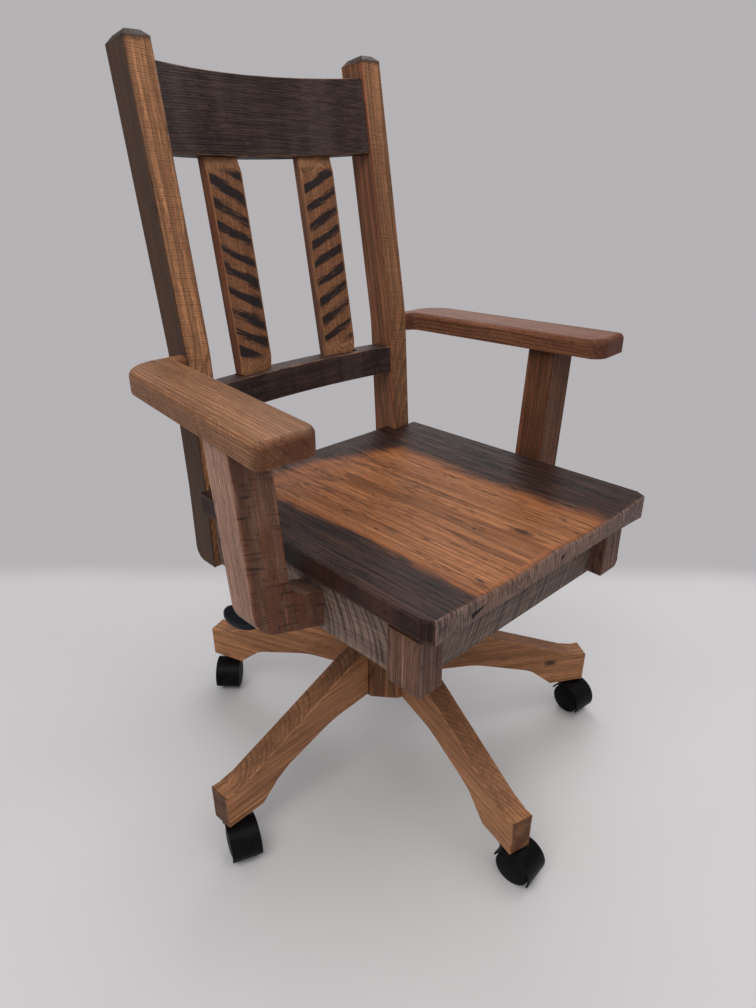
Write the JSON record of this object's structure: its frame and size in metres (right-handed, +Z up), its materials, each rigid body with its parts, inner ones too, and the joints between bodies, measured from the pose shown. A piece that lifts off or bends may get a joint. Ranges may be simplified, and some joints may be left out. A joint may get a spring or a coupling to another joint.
{
  "type": "bankers swivel chair",
  "caption": "Rustic reclaimed-wood armchair with a tall slatted back on a star base with casters; swivels, rises and tilts.",
  "frame": {"origin": "on the floor under the axis of the gas column", "axes": "+Z up, the sitter faces -Y, the sitter's right arm is on the -X side"},
  "size_m": [0.7338, 0.7269, 1.0845],
  "materials": {
    "leg_wood": "reclaimed oak, sanded, satin clear coat",
    "seat_wood": "reclaimed oak boards with darker edges and filled cracks, satin clear coat",
    "dark_wood": "very dark weathered oak with fine saw marks, satin clear coat",
    "slat_wood": "oak with slanted dark saw marks, satin clear coat",
    "post_wood": "weathered oak, dark on the old faces, satin clear coat",
    "apron_wood": "grey-brown weathered oak with saw marks, satin clear coat",
    "arm_wood": "reclaimed oak, sanded on top, satin clear coat",
    "caster_black": "black moulded nylon",
    "wheel_black": "black moulded nylon tread",
    "black_plastic": "black moulded plastic",
    "black_metal": "black powder coat",
    "zinc_steel": "bright zinc-plated steel"
  },
  "bodies": {
    "base": {"base_leg_1": "leg_wood", "base_leg_2": "leg_wood", "base_leg_3": "leg_wood", "base_leg_4": "leg_wood", "base_leg_5": "leg_wood", "base_hub": "leg_wood", "leg_bolts": "zinc_steel", "stand_tube": "black_metal", "guide_bush": "black_plastic", "thrust_bearing": "zinc_steel"},
    "column_rod": {"piston_rod": "zinc_steel", "retaining_clip": "zinc_steel"},
    "mechanism": {"pressure_tube": "black_metal", "tilt_housing": "black_metal", "tilt_pin": "zinc_steel", "tilt_spring": "zinc_steel", "tension_bolt": "zinc_steel"},
    "release": {"release_button": "zinc_steel"},
    "height_lever": {"lever_rod": "black_metal", "lever_paddle": "black_plastic"},
    "tension": {"tension_knob": "black_plastic"},
    "chair": {"seat_plate": "black_metal", "seat_plank_1": "seat_wood", "seat_plank_2": "seat_wood", "seat_plank_3": "seat_wood", "seat_plank_4": "seat_wood", "seat_plank_5": "seat_wood", "crest_rail": "dark_wood", "lower_back_rail": "dark_wood", "back_slat_left": "slat_wood", "back_slat_right": "slat_wood", "back_post_left": "post_wood", "back_post_right": "post_wood", "side_apron_left": "apron_wood", "side_apron_right": "apron_wood", "front_leg_left": "apron_wood", "front_leg_right": "apron_wood", "arm_left": "arm_wood", "arm_right": "arm_wood", "arm_support_left": "arm_wood", "arm_support_right": "arm_wood", "front_apron": "apron_wood", "back_apron": "apron_wood", "corner_blocks": "apron_wood", "chair_screws": "zinc_steel"},
    "caster_1": {"caster_1_fork": "caster_black"},
    "caster_1_left": {"caster_1_wheel_left": "wheel_black"},
    "caster_1_right": {"caster_1_wheel_right": "wheel_black"},
    "caster_2": {"caster_2_fork": "caster_black"},
    "caster_2_left": {"caster_2_wheel_left": "wheel_black"},
    "caster_2_right": {"caster_2_wheel_right": "wheel_black"},
    "caster_3": {"caster_3_fork": "caster_black"},
    "caster_3_left": {"caster_3_wheel_left": "wheel_black"},
    "caster_3_right": {"caster_3_wheel_right": "wheel_black"},
    "caster_4": {"caster_4_fork": "caster_black"},
    "caster_4_left": {"caster_4_wheel_left": "wheel_black"},
    "caster_4_right": {"caster_4_wheel_right": "wheel_black"},
    "caster_5": {"caster_5_fork": "caster_black"},
    "caster_5_left": {"caster_5_wheel_left": "wheel_black"},
    "caster_5_right": {"caster_5_wheel_right": "wheel_black"}
  },
  "joints": [
    {"name": "seat_swivel", "type": "hinge", "parent": "base", "child": "column_rod", "pos_m": [0, 0, 0.2], "axis": [0, 0, 1], "continuous": true},
    {"name": "seat_height", "type": "slide", "parent": "column_rod", "child": "mechanism", "axis": [0, 0, 1], "range_m": [-0.035, 0.08]},
    {"name": "seat_tilt", "type": "hinge", "parent": "mechanism", "child": "chair", "pos_m": [0, -0.07, 0.425], "axis": [-1, 0, 0], "range_deg": [0, 10], "stiffness_Nm_per_rad": 250, "springref_deg": -8.02},
    {"name": "height_lever_lift", "type": "hinge", "parent": "mechanism", "child": "height_lever", "pos_m": [-0.04475, 0.06, 0.4099], "axis": [0, 1, 0], "range_deg": [0, 6], "stiffness_Nm_per_rad": 2, "springref_deg": -8.59},
    {"name": "release_press", "type": "slide", "parent": "mechanism", "child": "release", "axis": [0, 0, 1], "range_m": [-0.005, 0]},
    {"name": "tension_turn", "type": "hinge", "parent": "mechanism", "child": "tension", "pos_m": [0, -0.13, 0.37], "axis": [0, 0, 1], "range_deg": [-360, 360]},
    {"name": "caster_1_swivel", "type": "hinge", "parent": "base", "child": "caster_1", "pos_m": [-0.08577, -0.32694, 0.05], "axis": [0, 0, 1], "continuous": true},
    {"name": "caster_1_roll_left", "type": "hinge", "parent": "caster_1", "child": "caster_1_left", "pos_m": [-0.08394, -0.34786, 0.026], "axis": [0.9962, 0.0872, 0], "continuous": true},
    {"name": "caster_1_roll_right", "type": "hinge", "parent": "caster_1", "child": "caster_1_right", "pos_m": [-0.08394, -0.34786, 0.026], "axis": [0.9962, 0.0872, 0], "continuous": true},
    {"name": "caster_2_swivel", "type": "hinge", "parent": "base", "child": "caster_2", "pos_m": [0.28443, -0.1826, 0.05], "axis": [0, 0, 1], "continuous": true},
    {"name": "caster_2_roll_left", "type": "hinge", "parent": "caster_2", "child": "caster_2_left", "pos_m": [0.28224, -0.20349, 0.026], "axis": [0.9945, -0.1045, 0], "continuous": true},
    {"name": "caster_2_roll_right", "type": "hinge", "parent": "caster_2", "child": "caster_2_right", "pos_m": [0.28224, -0.20349, 0.026], "axis": [0.9945, -0.1045, 0], "continuous": true},
    {"name": "caster_3_swivel", "type": "hinge", "parent": "base", "child": "caster_3", "pos_m": [0.26156, 0.21408, 0.05], "axis": [0, 0, 1], "continuous": true},
    {"name": "caster_3_roll_left", "type": "hinge", "parent": "caster_3", "child": "caster_3_left", "pos_m": [0.25791, 0.1934, 0.026], "axis": [0.9848, -0.1736, 0], "continuous": true},
    {"name": "caster_3_roll_right", "type": "hinge", "parent": "caster_3", "child": "caster_3_right", "pos_m": [0.25791, 0.1934, 0.026], "axis": [0.9848, -0.1736, 0], "continuous": true},
    {"name": "caster_4_swivel", "type": "hinge", "parent": "base", "child": "caster_4", "pos_m": [-0.12278, 0.31491, 0.05], "axis": [0, 0, 1], "continuous": true},
    {"name": "caster_4_roll_left", "type": "hinge", "parent": "caster_4", "child": "caster_4_left", "pos_m": [-0.13763, 0.30006, 0.026], "axis": [0.7071, -0.7071, 0], "continuous": true},
    {"name": "caster_4_roll_right", "type": "hinge", "parent": "caster_4", "child": "caster_4_right", "pos_m": [-0.13763, 0.30006, 0.026], "axis": [0.7071, -0.7071, 0], "continuous": true},
    {"name": "caster_5_swivel", "type": "hinge", "parent": "base", "child": "caster_5", "pos_m": [-0.33744, -0.01946, 0.05], "axis": [0, 0, 1], "continuous": true},
    {"name": "caster_5_roll_left", "type": "hinge", "parent": "caster_5", "child": "caster_5_left", "pos_m": [-0.34462, -0.03919, 0.026], "axis": [0.9397, -0.342, 0], "continuous": true},
    {"name": "caster_5_roll_right", "type": "hinge", "parent": "caster_5", "child": "caster_5_right", "pos_m": [-0.34462, -0.03919, 0.026], "axis": [0.9397, -0.342, 0], "continuous": true}
  ],
  "couplings": [
    {"joint": "release_press", "follows": "height_lever_lift", "m_per_rad": -0.046}
  ]
}
